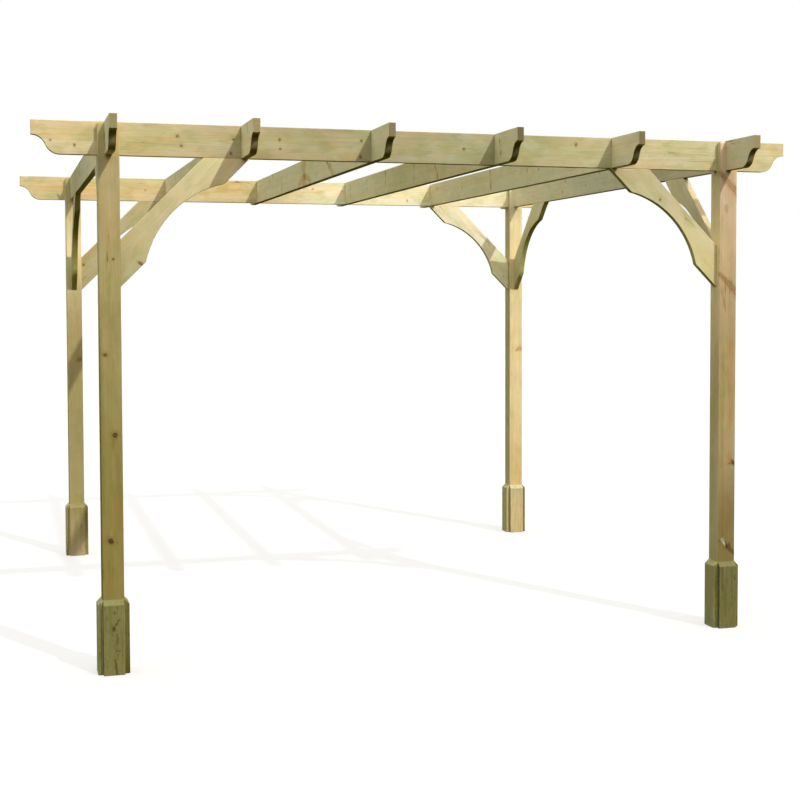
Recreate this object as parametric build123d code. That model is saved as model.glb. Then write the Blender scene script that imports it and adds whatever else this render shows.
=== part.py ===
from build123d import *
from math import sqrt
import os

# A free-standing timber pergola: four slotted posts, two beams, six rafters halved over them,
# eight curved braces and a skirt of four boards round the foot of each post.
# Millimetres. +Z is up, X runs along the beams and Y along the rafters.
# The origin is on the ground, midway between the four posts.

# Posts
post_side = 92.0
post_height = 2390.0
post_spacing_x = 2960.0  # centre to centre, along the beams
post_spacing_y = 2960.0  # centre to centre, along the rafters
post_arris_radius = 4.0  # the four long edges
post_crown_radius = 14.0  # the rounded rim of the top

# The one board that beams, rafters and braces are cut from
board_depth = 144.0
board_thickness = 32.0
board_arris = 2.0  # small chamfer along the edges that stay free

# Beams and rafters
beam_overhang = 320.0  # past the post's centre line
rafter_overhang = 320.0  # past the post's centre line
rafter_count = 6
tip_height = 62.0  # the plumb end face, above the ogee
ogee_length = 120.0  # from the end face to where the full depth begins

# Braces
brace_reach = 567.0  # from the corner of post and beam to the far tip of either cut
brace_shoulder = 157.0  # straight stretch of the inner edge, at each end of the bite
brace_waist = 73.0  # the least width, in the middle of the bite

# Feet
foot_height = 328.0
foot_thickness = 22.0
foot_bevel_drop = 22.0  # fall of the weathered top, from the post outwards
foot_arris = 2.0  # small chamfer along the two outer upright edges

# Fits
joint_clearance = 0.3  # on each side of a board in its slot or notch

rail_underside = post_height - board_depth
halving_depth = board_depth / 2
slot_width = board_thickness + 2 * joint_clearance
brace_near = brace_reach - board_depth * sqrt(2)


def export(shape, node):
    """Write one node's solid to its own file."""
    export_step(shape, f"parts/{node}.step")


def upright_slab(outline, thickness):
    """Thicken an outline drawn in the XZ plane equally to both sides."""
    return extrude(outline, amount=thickness / 2, both=True)

def ease_cheeks(board, sawn=()):
    """Ease the outline of both cheeks of an upright board, except along its sawn seats.

    A sawn seat is named by a point on it, and every edge of the face nearest to it stays sharp.
    """
    sharp = []
    for point in sawn:
        sharp += board.faces().sort_by_distance(point)[0].edges()
    outline = board.faces().filter_by(Axis.Y).edges()
    return chamfer([edge for edge in outline if edge not in sharp], board_arris)


def rail_outline(length):
    """Face in the XZ plane: a board on edge with an ogee cut under each end.

    Each ogee is two equal arcs, hollow at the tip and full at the belly. Both start level,
    and they meet halfway along and halfway down.
    """
    end = length / 2
    belly = end - ogee_length
    tip_z = board_depth - tip_height
    middle = ((end + belly) / 2, 0, tip_z / 2)
    mirrored_middle = (-middle[0], 0, middle[2])
    edges = [
        Polyline((-end, 0, tip_z), (-end, 0, board_depth), (end, 0, board_depth), (end, 0, tip_z)),
        TangentArc((end, 0, tip_z), middle, tangent=(-1, 0, 0)),
        TangentArc((belly, 0, 0), middle, tangent=(1, 0, 0)),
        Line((belly, 0, 0), (-belly, 0, 0)),
        TangentArc((-belly, 0, 0), mirrored_middle, tangent=(-1, 0, 0)),
        TangentArc((-end, 0, tip_z), mirrored_middle, tangent=(1, 0, 0)),
    ]
    return make_face(edges)


def notch(centre_x, bottom_z):
    """Block that cuts half the depth of a rail where another one crosses it."""
    from_below = (Align.CENTER, Align.CENTER, Align.MIN)
    block = Box(slot_width, 2 * board_thickness, halving_depth, align=from_below)
    return Pos(centre_x, 0, bottom_z) * block


def make_rail(length, crossings, notch_bottom):
    """Rail along X, its underside on z = 0, halved at each crossing."""
    rail = ease_cheeks(upright_slab(rail_outline(length), board_thickness))
    for centre_x in crossings:
        rail -= notch(centre_x, notch_bottom)
    return rail


def make_post():
    """Square post with eased long edges, a rounded crown and two crossing slots for the rails."""
    shaft = extrude(RectangleRounded(post_side, post_side, post_arris_radius), post_height)
    profile = Plane.XZ * Rectangle(post_side, post_height, align=(Align.CENTER, Align.MIN))
    profile = fillet(profile.vertices().group_by(Axis.Z)[-1], post_crown_radius)
    crown = upright_slab(profile, post_side)
    post = shaft & crown & Rot(0, 0, 90) * crown
    from_below = (Align.CENTER, Align.CENTER, Align.MIN)
    slot = Pos(0, 0, rail_underside) * Box(2 * post_side, slot_width, 2 * board_depth, align=from_below)
    return post - slot - Rot(0, 0, 90) * slot


def make_brace():
    """Brace at 45 degrees with its corner of post and beam on the origin, reaching towards +X.

    It is cut plumb against the post and level under the rail, and a shallow arc is bitten out
    of the middle of its inner edge.
    """
    step = brace_shoulder / sqrt(2)
    depth = (board_depth - brace_waist) / sqrt(2)
    high_kink = (brace_reach - step, 0, -step)
    low_kink = (step, 0, step - brace_reach)
    deepest = (brace_reach / 2 - depth, 0, depth - brace_reach / 2)
    plumb_cut = [(0, 0, -brace_reach), (0, 0, -brace_near)]
    level_cut = [(brace_near, 0, 0), (brace_reach, 0, 0)]
    edges = [
        Polyline(low_kink, *plumb_cut, *level_cut, high_kink),
        ThreePointArc(high_kink, deepest, low_kink),
    ]
    middle = (brace_near + brace_reach) / 2
    return ease_cheeks(upright_slab(make_face(edges), board_thickness), [(0, 0, -middle), (middle, 0, 0)])


def make_foot_board():
    """Upright board against the post's +X face, its top weathered outwards."""
    inner = post_side / 2
    outer = inner + foot_thickness
    outer_top = foot_height - foot_bevel_drop
    profile = Polyline((inner, 0, 0), (outer, 0, 0), (outer, 0, outer_top), (inner, 0, foot_height), close=True)
    board = upright_slab(make_face(profile), post_side)
    return chamfer(board.edges().filter_by(Axis.Z).group_by(Axis.X)[-1], foot_arris)


# Beams, notched from above at every rafter
rafter_pitch = post_spacing_x / (rafter_count - 1)
rafter_places = [index * rafter_pitch - post_spacing_x / 2 for index in range(rafter_count)]
beam = make_rail(post_spacing_x + 2 * beam_overhang, rafter_places, halving_depth)
for name, side in (("front", -1), ("back", 1)):
    export(Pos(0, side * post_spacing_y / 2, rail_underside) * beam, f"beam_{name}")

# Rafters, notched from below at both beams
beam_places = [-post_spacing_y / 2, post_spacing_y / 2]
rafter = Rot(0, 0, 90) * make_rail(post_spacing_y + 2 * rafter_overhang, beam_places, 0)
for number, place in enumerate(rafter_places, start=1):
    export(Pos(place, 0, rail_underside) * rafter, f"rafter_{number}")

# Each corner: a post, its four foot boards, and a brace under each of its two rails
post = make_post()
brace = make_brace()
foot_board = make_foot_board()
foot_sides = {"right": 0, "back": 90, "left": 180, "front": 270}
corners = {
    "front_left": (-1, -1),
    "front_right": (1, -1),
    "back_left": (-1, 1),
    "back_right": (1, 1),
}
for corner, (side_x, side_y) in corners.items():
    stand = Pos(side_x * post_spacing_x / 2, side_y * post_spacing_y / 2, 0)
    export(stand * post, f"post_{corner}")
    for side, turn in foot_sides.items():
        export(stand * Rot(0, 0, turn) * foot_board, f"foot_{corner}_{side}")
    seat = Pos(post_side / 2, 0, rail_underside) * brace
    turn_x = 0 if side_x < 0 else 180
    turn_y = 90 if side_y < 0 else 270
    export(stand * Rot(0, 0, turn_x) * seat, f"brace_{corner}_beam")
    export(stand * Rot(0, 0, turn_y) * seat, f"brace_{corner}_rafter")
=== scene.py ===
# %% [markdown]
# # A garden pergola in pressure-treated softwood
# The real thing is a frame of thirty-six sawn pieces: four posts, two beams, six rafters, eight curved
# braces and a skirt of four boards round the foot of each post. The construction comes with the frame that
# is loaded here. This lesson gives every piece a mesh with worn edges and a solid timber finish, so that the
# grain runs through each stick from one end to the other and the knots come out on both sides.

import bmesh
import bpy
import numpy as np
from mathutils import Matrix, Vector


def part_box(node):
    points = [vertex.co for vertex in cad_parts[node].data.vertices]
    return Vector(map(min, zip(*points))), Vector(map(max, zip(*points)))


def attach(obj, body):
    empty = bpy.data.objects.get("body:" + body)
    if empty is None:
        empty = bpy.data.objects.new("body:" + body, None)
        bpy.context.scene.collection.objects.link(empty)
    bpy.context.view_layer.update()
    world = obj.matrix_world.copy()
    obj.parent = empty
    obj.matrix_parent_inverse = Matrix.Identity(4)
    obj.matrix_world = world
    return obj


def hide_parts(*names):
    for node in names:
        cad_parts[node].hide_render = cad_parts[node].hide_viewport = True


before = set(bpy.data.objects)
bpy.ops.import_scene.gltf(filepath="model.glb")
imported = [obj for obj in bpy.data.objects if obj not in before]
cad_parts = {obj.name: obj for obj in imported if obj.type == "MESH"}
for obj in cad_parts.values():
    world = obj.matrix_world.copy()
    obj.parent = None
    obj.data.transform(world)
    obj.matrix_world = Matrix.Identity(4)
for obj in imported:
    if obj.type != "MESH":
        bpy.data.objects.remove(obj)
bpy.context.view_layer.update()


def corners(node):
    """Lowest and highest corner of a node as one numpy array, in metres."""
    return np.array(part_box(node))


def put(name, data):
    """Add an object with this name and data to the scene."""
    thing = bpy.data.objects.new(name, data)
    bpy.context.scene.collection.objects.link(thing)
    return thing


beam_low, beam_high = corners("beam_front")
post_low, post_high = corners("post_front_left")
rail_length, rail_thickness, rail_depth = beam_high - beam_low
post_side = post_high[0] - post_low[0]
post_height = post_high[2]
rail_underside = beam_low[2]
print(f"rails {rail_length:.3f} m long, {rail_depth:.3f} m deep, {rail_thickness:.3f} m thick")
print(f"posts {post_side:.3f} m square, {post_height:.3f} m high, rails from {rail_underside:.3f} m up")

# %% [markdown]
# ## The studio
# The pergola stands on a plain pale floor that runs on to the horizon. Three things light it: a small sun
# from the front right, which draws each rafter's shadow on its neighbours, a soft sky that is warmer on the
# sunny side and dark near the horizon, as it is behind hedges, and the little light that a lawn would send
# back up. A floor that is white to the camera would bleach every underside, so Light Path shows the camera
# one floor and the wood another: the first is grey with a glow, which comes out white and still keeps a faint
# shadow, and the second is a dull green.

# %% Floor
FLOOR_HALF = 300.0
FLOOR_SEEN = (0.28, 0.28, 0.29, 1.0)
FLOOR_GLOW = 0.60
FLOOR_BOUNCE = (0.035, 0.032, 0.006, 1.0)

floor_mesh = bpy.data.meshes.new("floor")
floor_corners = FLOOR_HALF * np.array([(-1, -1, 0), (1, -1, 0), (1, 1, 0), (-1, 1, 0)])
floor_mesh.from_pydata(floor_corners.tolist(), [], [(0, 1, 2, 3)])
floor = put("floor", floor_mesh)


def add(tree, kind, inputs=None, **settings):
    """Add one shader node with its settings, and its inputs as values or sockets by name or number."""
    node = tree.nodes.new("ShaderNode" + kind)
    for key, value in settings.items():
        setattr(node, key, value)
    for key, value in (inputs or {}).items():
        if isinstance(value, bpy.types.NodeSocket):
            tree.links.new(value, node.inputs[key])
        else:
            node.inputs[key].default_value = value
    return node


def give(output, **sockets):
    """Link sockets to the inputs of an output node, by name."""
    for name, socket in sockets.items():
        output.id_data.links.new(socket, output.inputs[name])


def empty_material(name):
    """A material whose tree holds only its output."""
    material = bpy.data.materials.new(name)
    material.use_nodes = True
    tree = material.node_tree
    tree.nodes.clear()
    return material, tree, add(tree, "OutputMaterial")


def by_viewer(tree, seen, unseen):
    """One shader for the camera's rays and another for all other rays; gives its output."""
    is_camera = add(tree, "LightPath").outputs["Is Camera Ray"]
    return add(tree, "MixShader", {0: is_camera, 1: unseen.outputs[0], 2: seen.outputs[0]}).outputs[0]


floor_material, tree, output = empty_material("pale_floor")
grey = add(tree, "BsdfDiffuse", {"Color": FLOOR_SEEN})
glow = add(tree, "Emission", {"Strength": FLOOR_GLOW})
seen = add(tree, "AddShader", {0: grey.outputs[0], 1: glow.outputs[0]})
give(output, Surface=by_viewer(tree, seen, add(tree, "BsdfDiffuse", {"Color": FLOOR_BOUNCE})))
floor_mesh.materials.append(floor_material)
print("floor", 2 * FLOOR_HALF, "m across")

# %% Sky and sun
SKY_LIGHT = 1.2
SKY_COOL = (0.92, 1.00, 1.02, 1.0)
SKY_WARM = (1.08, 0.96, 0.78, 1.0)
SKY_TURN = (-0.6, 0.3)
SKY_HEIGHTS = (0.0, 0.22, 0.50, 0.87, 1.0)
SKY_SHARES = (0.03, 0.12, 1.50, 1.25, 0.6)
SUN_STRENGTH = 1.9
SUN_SPREAD = 0.016
SUN_COLOUR = (1.0, 0.97, 0.90)
SUN_TRAVEL = Vector((-0.495, 1.0, -0.93))


def tree_of(*values):
    """The node tree that holds the first socket among some values."""
    return next(value.id_data for value in values if isinstance(value, bpy.types.NodeSocket))


def mixed(share, first, second, blend="MIX"):
    """Mix two colours by a share from 0 to 1."""
    inputs = {0: share, 6: first, 7: second}
    return add(tree_of(share, first, second), "Mix", inputs, data_type="RGBA", blend_type=blend).outputs[2]


def smooth(value, start, end, kind="SMOOTHSTEP"):
    """Smoothstep 3t^2 - 2t^3 of t, or t itself if LINEAR, where t runs from 0 at start to 1 at end."""
    inputs = {"Value": value, "From Min": start, "From Max": end}
    return add(tree_of(value), "MapRange", inputs, interpolation_type=kind).outputs["Result"]


def ramp(share, places, colours, interpolation="LINEAR"):
    """Colours at places from 0 to 1, blended in between; the first place is 0 and the last is 1."""
    node = add(tree_of(share), "ValToRGB", {"Fac": share})
    node.color_ramp.interpolation = interpolation
    elements = node.color_ramp.elements
    elements[0].color, elements[1].color = colours[0], colours[-1]
    for place, colour in list(zip(places, colours))[1:-1]:
        elements.new(float(place)).color = colour
    return node.outputs["Color"]


scene = bpy.context.scene
scene.view_settings.view_transform = "Standard"
world = bpy.data.worlds.new("white_sky")
world.use_nodes = True
scene.world = world
tree = world.node_tree
tree.nodes.clear()
direction = add(tree, "SeparateXYZ", {0: add(tree, "TexCoord").outputs["Generated"]}).outputs
bands = ramp(direction["Z"], SKY_HEIGHTS, [(share, share, share, 1.0) for share in SKY_SHARES])
warmth = mixed(smooth(direction["X"], *SKY_TURN, "LINEAR"), SKY_COOL, SKY_WARM)
sky = mixed(1.0, bands, warmth, "MULTIPLY")
lit = add(tree, "Background", {"Color": sky, "Strength": SKY_LIGHT})
shown = add(tree, "Background", {"Color": (1, 1, 1, 1), "Strength": 1.0})
give(add(tree, "OutputWorld"), Surface=by_viewer(tree, shown, lit))

sun_data = bpy.data.lights.new("sun", "SUN")
sun_data.energy = SUN_STRENGTH
sun_data.angle = SUN_SPREAD
sun_data.color = SUN_COLOUR
sun = put("sun", sun_data)
sun.rotation_mode = "QUATERNION"
sun.rotation_quaternion = SUN_TRAVEL.to_track_quat("-Z", "Y")
print("sun travels along", tuple(round(v, 2) for v in SUN_TRAVEL.normalized()))

# %% [markdown]
# ## The camera
# The view is that of a person standing about six metres in front of the left-hand post, eyes 1.64 m up,
# looking a little to the right and very slightly down. A lens of about 64 mm keeps the perspective calm, and
# a small shift places the frame without tilting the uprights.

# %% Camera
CAMERA_PLACE = Vector((-1.943, -7.740, 1.643))
CAMERA_YAW = 0.29156
CAMERA_PITCH = -0.04221
CAMERA_ROLL = -0.00219
CAMERA_LENS = 63.712
CAMERA_SENSOR = 36.0
CAMERA_SHIFT = (-0.02872, -0.05640)
CAMERA_SIGHT = 2000.0

camera_data = bpy.data.cameras.new("camera")
camera_data.sensor_width = CAMERA_SENSOR
camera_data.lens = CAMERA_LENS
camera_data.shift_x, camera_data.shift_y = CAMERA_SHIFT
camera_data.clip_end = CAMERA_SIGHT
camera = put("camera", camera_data)
turns = ((-CAMERA_YAW, "Z"), (np.pi / 2 + CAMERA_PITCH, "X"), (CAMERA_ROLL, "Z"))
yawed, pitched, rolled = (Matrix.Rotation(angle, 4, axis) for angle, axis in turns)
camera.matrix_world = Matrix.Translation(CAMERA_PLACE) @ yawed @ pitched @ rolled
scene.camera = camera
print("camera stands", round(CAMERA_PLACE.length, 2), "m from the middle of the pergola")

# %% [markdown]
# ## Surfaces as grids
# Every stick here is a closed skin of a few patches, and each patch is a grid of points worked out at once
# with numpy. The basic one is a ruled surface: straight threads stretched between two curves, like the
# strings between two bent rails. Faces of a board, its edges and the floors of its notches are all ruled
# surfaces between curves that are easy to write down, so their borders meet and can be welded.

# %% Patches
def ruled(first, last, steps):
    """Ruled surface P(s, t) = (1 - t) first(s) + t last(s), with t in equal steps from 0 to 1."""
    t = np.linspace(0.0, 1.0, steps + 1)[:, None, None]
    return (1 - t) * first + t * last


def across(curve, half, steps):
    """Carry a curve of (x, z) points from y = -half to y = half."""
    return ruled(np.insert(curve, 1, -half, axis=1), np.insert(curve, 1, half, axis=1), steps)


def cheeks(first, last, half, steps):
    """Both faces of a board, at y = -half and y = half, ruled between two curves of (x, z) points."""
    curves = (first, last)
    return [ruled(*(np.insert(curve, 1, y, axis=1) for curve in curves), steps) for y in (-half, half)]


def points(*coordinates):
    """Points from their coordinates, each an array or one number for all of them."""
    return np.stack(np.broadcast_arrays(*coordinates), axis=-1)


def quarter_turn(turns):
    """Matrix of a number of quarter turns about Z."""
    cosine, sine = [(1, 0), (0, 1), (-1, 0), (0, -1)][turns % 4]
    return np.array([(cosine, -sine, 0), (sine, cosine, 0), (0, 0, 1)], float)


def grid_faces(patch, start):
    """Quads of a patch: point (i, j) joins its neighbours (i + 1, j), (i + 1, j + 1) and (i, j + 1)."""
    rows, columns = patch.shape[:2]
    index = start + np.arange(rows * columns).reshape(rows, columns)
    quads = np.stack([index[:-1, :-1], index[1:, :-1], index[1:, 1:], index[:-1, 1:]], axis=-1)
    return quads.reshape(-1, 4)


WELD = 2e-5


def skin(name, patches):
    """Weld patches into one closed mesh with its faces turned outwards."""
    starts = np.cumsum([0] + [patch.shape[0] * patch.shape[1] for patch in patches])
    vertices = np.concatenate([patch.reshape(-1, 3) for patch in patches])
    faces = np.concatenate([grid_faces(patch, start) for patch, start in zip(patches, starts)])
    mesh = bpy.data.meshes.new(name)
    mesh.from_pydata(vertices.tolist(), [], faces.tolist())
    work = bmesh.new()
    work.from_mesh(mesh)
    bmesh.ops.remove_doubles(work, verts=work.verts, dist=WELD)
    bmesh.ops.recalc_face_normals(work, faces=work.faces)
    work.to_mesh(mesh)
    work.free()
    return mesh


def numbers(collection, field, width, kind=float):
    """Read one field of a Blender collection into an array with that many columns."""
    values = np.zeros(len(collection) * width, kind)
    collection.foreach_get(field, values)
    return values.reshape(-1, width)


print("patches are welded within", WELD * 1000, "mm")

# %% [markdown]
# ## Worn arrises
# Joiners call the sharp edge of a board its arris. On planed timber it is eased by a millimetre or two, and
# handling wears it unevenly. A Bevel modifier can round edges by a weight on each edge, so the weight is
# worked out from the angle between the two faces and from a slow wave along the piece.

# %% Edge weights
SHARP_COSINE = 0.75
LEAST_WEAR = 0.55
WEAR_WAVES = np.array([(3.1, 5.0, 2.3), (7.7, 2.9, 6.1), (17.0, 13.0, 19.0)])


def slow_wave(places, seed):
    """Sum of three plane sine waves, from 0 to 1, whose phases depend on the seed."""
    phase = seed * np.array([1.7, 2.9, 4.3])
    return 0.5 + np.sin(places @ WEAR_WAVES.T + phase).sum(axis=1) / 6


def weigh_arrises(mesh, seed):
    """Give each sharp edge a bevel weight between the least wear and 1, and every other edge none."""
    edge_of_loop = numbers(mesh.loops, "edge_index", 1, np.int32)[:, 0]
    sides_of_face = numbers(mesh.polygons, "loop_total", 1, np.int32)[:, 0]
    face_of_loop = np.repeat(np.arange(len(mesh.polygons)), sides_of_face)
    assert len(edge_of_loop) == 2 * len(mesh.edges), f"{mesh.name} isn't closed"
    pairs = face_of_loop[np.argsort(edge_of_loop, kind="stable")].reshape(-1, 2)
    normals = numbers(mesh.polygons, "normal", 3)
    cosine = (normals[pairs[:, 0]] * normals[pairs[:, 1]]).sum(axis=1)
    ends = numbers(mesh.edges, "vertices", 2, np.int32)
    middles = numbers(mesh.vertices, "co", 3)[ends].mean(axis=1)
    wear = LEAST_WEAR + (1 - LEAST_WEAR) * slow_wave(middles, seed)
    weight = np.where(cosine < SHARP_COSINE, wear, 0.0)
    mesh.attributes.new("bevel_weight_edge", "FLOAT", "EDGE").data.foreach_set("value", weight)


def ease(piece, width, segments=2):
    """Round the weighted edges of a piece and shade it so that its flat faces stay flat."""
    bevel = piece.modifiers.new("arris", "BEVEL")
    bevel.width = width
    bevel.segments = segments
    bevel.limit_method = "WEIGHT"
    bevel.harden_normals = True
    piece.data.shade_smooth()


print("edges count as sharp past", round(float(np.degrees(np.arccos(SHARP_COSINE)))), "degrees")

# %% [markdown]
# ## Beams and rafters
# Both are the same board on edge. Each end is cut to an ogee: a plumb face, a hollow arc and then a full one.
# Both arcs have one radius and meet halfway. Where boards cross, each gives up half its depth, from above on
# a beam and from below on a rafter. A grid cannot jump at a notch, so the board is split along its mid-line
# into a whole band and a band that stops and starts again at each notch.

# %% Outline of a rail
TIP_HEIGHT = 0.062
OGEE_LENGTH = 0.120
OGEE_STEPS = 9
FIT = 0.0003
CELL = 0.030


def ogee():
    """One end of a rail: distances from the tip and heights over the underside along two equal arcs.

    An arc that leaves level and has run x = l / 2 has fallen z = h / 2, so its radius is (x^2 + z^2) / 2z.
    The second arc is the first one turned by half a turn about the point where they meet.
    """
    run = OGEE_LENGTH / 2
    fall = (rail_depth - TIP_HEIGHT) / 2
    radius = (run ** 2 + fall ** 2) / (2 * fall)
    turn = np.linspace(0.0, np.arcsin(run / radius), OGEE_STEPS + 1)
    hollow = points(radius * np.sin(turn), 2 * fall - radius * (1 - np.cos(turn)))
    belly = (2 * run, 2 * fall) - hollow[::-1]
    return np.concatenate([hollow, belly[1:]])


def rail_stations(length, crossings, half_slot):
    """Places along a rail with the underside's height at each: both ogees, the notches' edges, even cells."""
    left = ogee() - (length / 2, 0)
    right = left[::-1] * (-1, 1)
    marks = np.concatenate([[left[-1, 0], right[0, 0]], crossings - half_slot, crossings + half_slot])
    marks.sort()
    counts = np.maximum(1, np.round(np.diff(marks) / CELL)).astype(int)
    spans = zip(marks, marks[1:], counts)
    inner = np.concatenate([np.linspace(start, end, count, endpoint=False) for start, end, count in spans])
    return np.concatenate([left, points(inner[1:], 0.0), right])


print("ogee points", len(ogee()))

# %% Skin of a rail
BAND_ROWS = 4
EDGE_ROWS = 3
SAME_PLACE = 1e-6


def rail_patches(length, crossings, cut_from_above):
    """Patches of a rail along X with its underside on z = 0: cheeks, edges, ends, notch floors and walls."""
    half = rail_thickness / 2
    half_slot = half + FIT
    x, under = rail_stations(length, crossings, half_slot).T
    top = np.full(len(x), rail_depth)
    middle = (under + top) / 2
    whole_rim, cut_rim = (under, top) if cut_from_above else (top, under)
    notches = np.sort(np.concatenate([crossings - half_slot, crossings + half_slot]))
    splits = np.searchsorted(x, np.concatenate([[x[0]], notches, [x[-1]]]) - SAME_PLACE)
    patches = []

    def row(height, span):
        """The (x, z) points of a line of heights, for a span of the stations."""
        return points(x[span], height[span])

    def strip(height, span):
        """The edge along one line of a span of the stations."""
        patches.append(across(row(height, span), half, EDGE_ROWS))

    def wall(index, low, high):
        """An upright cut at one station."""
        heights = np.linspace(low[index], high[index], BAND_ROWS + 1)
        patches.append(across(points(x[index], heights), half, EDGE_ROWS))

    everything = slice(0, len(x))
    patches.extend(cheeks(row(middle, everything), row(whole_rim, everything), half, BAND_ROWS))
    strip(whole_rim, everything)
    for index in (0, len(x) - 1):
        wall(index, middle, whole_rim)
    for number, (start, end) in enumerate(zip(splits, splits[1:])):
        span = slice(start, end + 1)
        if number % 2:
            strip(middle, span)
        else:
            patches.extend(cheeks(row(middle, span), row(cut_rim, span), half, BAND_ROWS))
            strip(cut_rim, span)
            wall(start, middle, cut_rim)
            wall(end, middle, cut_rim)
    return patches


rafter_names = sorted(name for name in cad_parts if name.startswith("rafter_"))
rafter_places = np.sort([corners(name).mean(axis=0)[0] for name in rafter_names])
beam_places = np.array([corners(name).mean(axis=0)[1] for name in ("beam_front", "beam_back")])
beam_patches = rail_patches(rail_length, rafter_places, True)
rafter_patches = rail_patches(rail_length, beam_places, False)
print("a beam has", len(beam_patches), "patches and a rafter", len(rafter_patches))

# %% [markdown]
# ## Posts
# A post is a square shaft whose top is slotted both ways, so that it ends in four square prongs with the
# rails between them. Its rim is rounded over. The prongs are cut from a plain square first, and then one rule
# rounds every outer edge: a point in the corner quadrant is drawn onto a circle round the quadrant's corner.

# %% Post
ARRIS_RADIUS = 0.004
CROWN_RADIUS = 0.014
SHAFT_CELL = 0.045


def eased_stops(inner, outer, radius, steps, cells):
    """Even stops from the inner to the outer edge, with finer ones within the radius of the outer edge."""
    return np.concatenate([np.linspace(inner, outer - radius, cells, endpoint=False),
                           np.linspace(outer - radius, outer, steps + 1)])


def draw_in(a, b, limit_a, limit_b, radius):
    """Round a corner: past both limits, scale the offset from them to length = radius.

    A point on the square edge has one offset equal to the radius, so its angle is kept and the edge
    becomes a quarter circle. Signs are kept, so all four corners are rounded at once.
    """
    over_a = np.abs(a) - (limit_a - radius)
    over_b = np.abs(b) - (limit_b - radius)
    inside = (over_a > 0) & (over_b > 0)
    reach = np.hypot(over_a, over_b)
    shrink = np.where(inside & (reach > radius), radius / np.maximum(reach, 1e-9), 1.0)
    new_a = np.sign(a) * ((limit_a - radius) + over_a * shrink)
    new_b = np.sign(b) * ((limit_b - radius) + over_b * shrink)
    return np.where(inside, new_a, a), np.where(inside, new_b, b)


def post_patches():
    """Patches of a post on the Z axis: shaft and prong faces, slot floors and walls, tops and foot."""
    half = post_side / 2
    slot = rail_thickness / 2 + FIT
    outer = np.unique(np.concatenate([eased_stops(slot, half, CROWN_RADIUS, 5, 1),
                                      np.linspace(half - ARRIS_RADIUS, half, 4)]).round(6))
    full = np.concatenate([-outer[::-1], [0.0], outer])
    core = np.array([-slot, 0.0, slot])
    shaft = np.linspace(0.0, rail_underside, int(rail_underside / SHAFT_CELL))
    prong = eased_stops(rail_underside, post_height, CROWN_RADIUS, 5, 4)
    patches = []

    def around(x, y, z, turns=(1, 2, 3, 4)):
        """Keep a grid as it lies after each number of quarter turns about the axis."""
        patches.extend(points(x, y, z) @ quarter_turn(turn).T for turn in turns)

    def face(columns, heights, offset):
        """Upright grids at a distance from the axis, on all four sides."""
        flat, up = np.meshgrid(columns, heights)
        around(flat, offset, up)

    face(full, shaft, half)
    for offset in (half, slot):
        face(outer, prong, offset)
        face(-outer, prong, offset)
    around(*np.meshgrid(outer, outer), post_height)
    around(*np.meshgrid(core, outer), rail_underside)
    around(*np.meshgrid(core, core), rail_underside, turns=[0])
    around(*np.meshgrid(full, full), 0.0, turns=[0])
    return [round_post(patch) for patch in patches]


def round_post(patch):
    """Round the four long arrises, then the rim of the top in X and in Y."""
    x, y, z = np.moveaxis(patch, -1, 0)
    half = post_side / 2
    x, y = draw_in(x, y, half, half, ARRIS_RADIUS)
    x, z = draw_in(x, z, half, post_height, CROWN_RADIUS)
    y, z = draw_in(y, z, half, post_height, CROWN_RADIUS)
    return points(x, y, z)


post_skin = post_patches()
print("a post has", len(post_skin), "patches")

# %% [markdown]
# ## Braces
# Each brace is a short length of the same board set at 45 degrees, cut plumb against the post and level under
# the rail, with a shallow arc bitten out of its inner edge. In axes turned along the brace, the outer edge is
# straight and the inner edge is straight, arc, straight. The cheek is ruled between the two, so its threads
# fan out to the two cuts by themselves.

# %% Brace
SHOULDER = 0.157
WAIST = 0.073
ARC_STEPS = 16
SHOULDER_STEPS = 5
diagonal = np.sqrt(0.5)
brace_low, brace_high = corners("brace_front_left_beam")
brace_reach = brace_high[0] - brace_low[0]


def brace_edges():
    """Outer and inner edge as (x, z) points from the post to the rail, the corner of the two on the origin.

    The arc has the chord between the two kinks and the sagitta that leaves the waist, so its radius is
    (chord^2 / 4 + sagitta^2) / 2 sagitta.
    """
    reach = brace_reach * diagonal
    near = reach - rail_depth
    kink = reach - SHOULDER
    sagitta = rail_depth - WAIST
    radius = (kink ** 2 + sagitta ** 2) / (2 * sagitta)
    sweep = np.arcsin(kink / radius)
    turn = np.linspace(-sweep, sweep, ARC_STEPS + 1)
    arc = points(radius * np.sin(turn), reach - sagitta + radius * (1 - np.cos(turn)))
    shoulder = points(np.linspace(-reach, -kink, SHOULDER_STEPS, endpoint=False), reach)
    inner = np.concatenate([shoulder, arc, shoulder[::-1] * (-1, 1)])
    outer = points(inner[:, 0] * near / reach, near)
    along = np.array([diagonal, diagonal])
    down = np.array([diagonal, -diagonal])
    return [edge[:, :1] * along + edge[:, 1:] * down for edge in (outer, inner)]


def brace_patches():
    """Patches of a brace: two cheeks, two edges and two sawn seats."""
    outer, inner = brace_edges()
    half = rail_thickness / 2
    patches = [across(outer, half, EDGE_ROWS), across(inner, half, EDGE_ROWS)]
    patches.extend(cheeks(outer, inner, half, 2 * BAND_ROWS))
    for index in (0, -1):
        cut = np.linspace(outer[index], inner[index], 2 * BAND_ROWS + 1)
        patches.append(across(cut, half, EDGE_ROWS))
    return patches


brace_skin = brace_patches()
print(f"a brace reaches {brace_reach:.3f} m and has {len(brace_skin)} patches")

# %% [markdown]
# ## Foot boards
# Four short boards wrap each foot, and each top is bevelled to shed water. In profile a board is a tall
# rectangle with one corner cut off, and that profile is carried across the face of the post.

# %% Foot board
FOOT_ROWS = 12
FOOT_COLUMNS = 6
FOOT_DROP = 0.022
foot_low, foot_high = corners("foot_front_left_right")
foot_height = foot_high[2]
foot_thickness = foot_high[0] - foot_low[0]


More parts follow.
